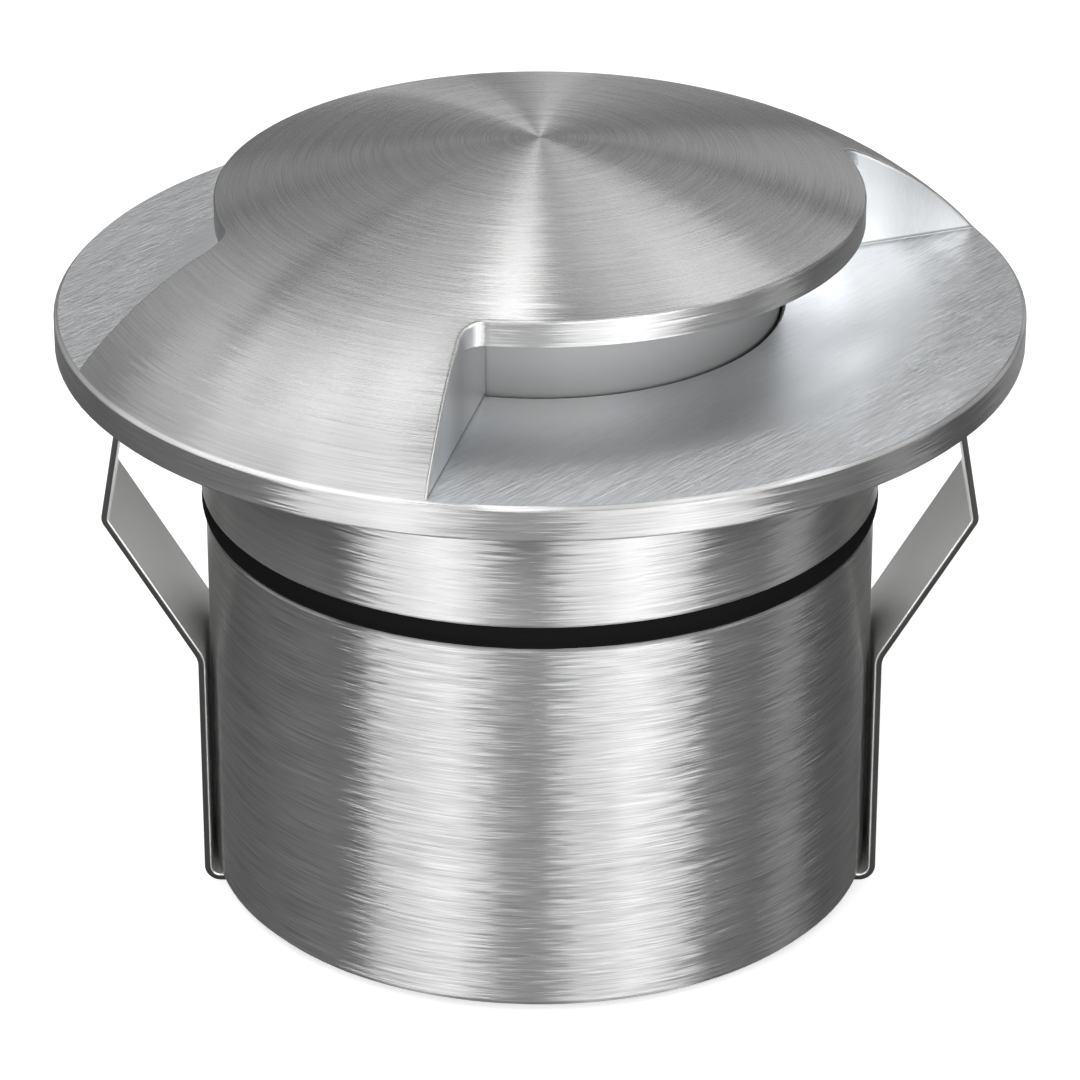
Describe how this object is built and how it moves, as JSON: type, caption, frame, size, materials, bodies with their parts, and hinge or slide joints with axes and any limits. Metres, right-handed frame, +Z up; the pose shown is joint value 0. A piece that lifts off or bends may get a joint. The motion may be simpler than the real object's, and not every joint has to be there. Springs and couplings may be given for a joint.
{
  "type": "in ground well light",
  "caption": "Round stainless in-ground marker light: domed flanged head with side windows over a frosted diffuser, on a straight can held by sprung strip clips.",
  "frame": {"origin": "on the light's axis, in the plane that its clip feet stand on", "axes": "+Z up through the dome, -Y the pictured front, the spring clips on -X and +X"},
  "size_m": [0.07, 0.07, 0.0579],
  "materials": {
    "stainless_cover": "turned and brushed stainless steel",
    "stainless_can": "brushed round the can",
    "spring_steel": "satin spring strip",
    "black_rubber": "matt",
    "frosted_diffuser": "frosted, translucent",
    "white_plastic": "matt white",
    "bright_reflector": "polished",
    "white_board": "white solder mask",
    "grey_pad": "soft pad",
    "led": "phosphor in a white case",
    "screw_steel": "plain steel",
    "aluminium": "machined",
    "brass": "machined",
    "green_board": "green solder mask",
    "dark_plastic": "black nylon",
    "ferrite": "ferrite",
    "capacitor_sleeve": "sleeved",
    "terminal_green": "moulded"
  },
  "bodies": {
    "light": {"body_can": "stainless_can", "body_gasket": "black_rubber", "top_cover": "stainless_cover", "diffuser_cup": "frosted_diffuser", "diffuser_gasket": "black_rubber", "reflector_ring": "white_plastic", "reflector_cone": "bright_reflector", "led_board": "white_board", "thermal_pad": "grey_pad", "led_chips": "led", "board_screws": "screw_steel", "heat_sink": "aluminium", "lock_ring": "aluminium", "driver_standoffs": "brass", "driver_board": "green_board", "driver_screws": "screw_steel", "led_pin_header": "dark_plastic", "driver_inductor": "ferrite", "driver_capacitors": "capacitor_sleeve", "driver_chips": "dark_plastic", "terminal_block": "terminal_green", "gland_body": "dark_plastic", "gland_washer": "black_rubber", "gland_lock_nut": "dark_plastic", "gland_seal": "black_rubber", "gland_cap": "dark_plastic", "vent_plug": "dark_plastic", "vent_seal": "black_rubber", "clip_foot_left": "spring_steel", "clip_foot_right": "spring_steel", "clip_screws": "screw_steel"},
    "blade_left": {"clip_blade_left": "spring_steel"},
    "tip_left": {"clip_tip_left": "spring_steel"},
    "blade_right": {"clip_blade_right": "spring_steel"},
    "tip_right": {"clip_tip_right": "spring_steel"}
  },
  "joints": [
    {"name": "left_blade_flex", "type": "hinge", "parent": "light", "child": "blade_left", "pos_m": [-0.0249, 0, 0.01867], "axis": [0, 1, 0], "range_deg": [0, 28], "stiffness_Nm_per_rad": 0.1},
    {"name": "left_tip_flex", "type": "hinge", "parent": "blade_left", "child": "tip_left", "pos_m": [-0.03163, 0, 0.03006], "axis": [0, 1, 0], "range_deg": [-38, 0]},
    {"name": "right_blade_flex", "type": "hinge", "parent": "light", "child": "blade_right", "pos_m": [0.0249, 0, 0.01867], "axis": [0, -1, 0], "range_deg": [0, 28], "stiffness_Nm_per_rad": 0.1},
    {"name": "right_tip_flex", "type": "hinge", "parent": "blade_right", "child": "tip_right", "pos_m": [0.03163, 0, 0.03006], "axis": [0, -1, 0], "range_deg": [-38, 0]}
  ],
  "couplings": [
    {"joint": "left_tip_flex", "follows": "left_blade_flex", "ratio": -1.3},
    {"joint": "right_tip_flex", "follows": "right_blade_flex", "ratio": -1.3}
  ]
}
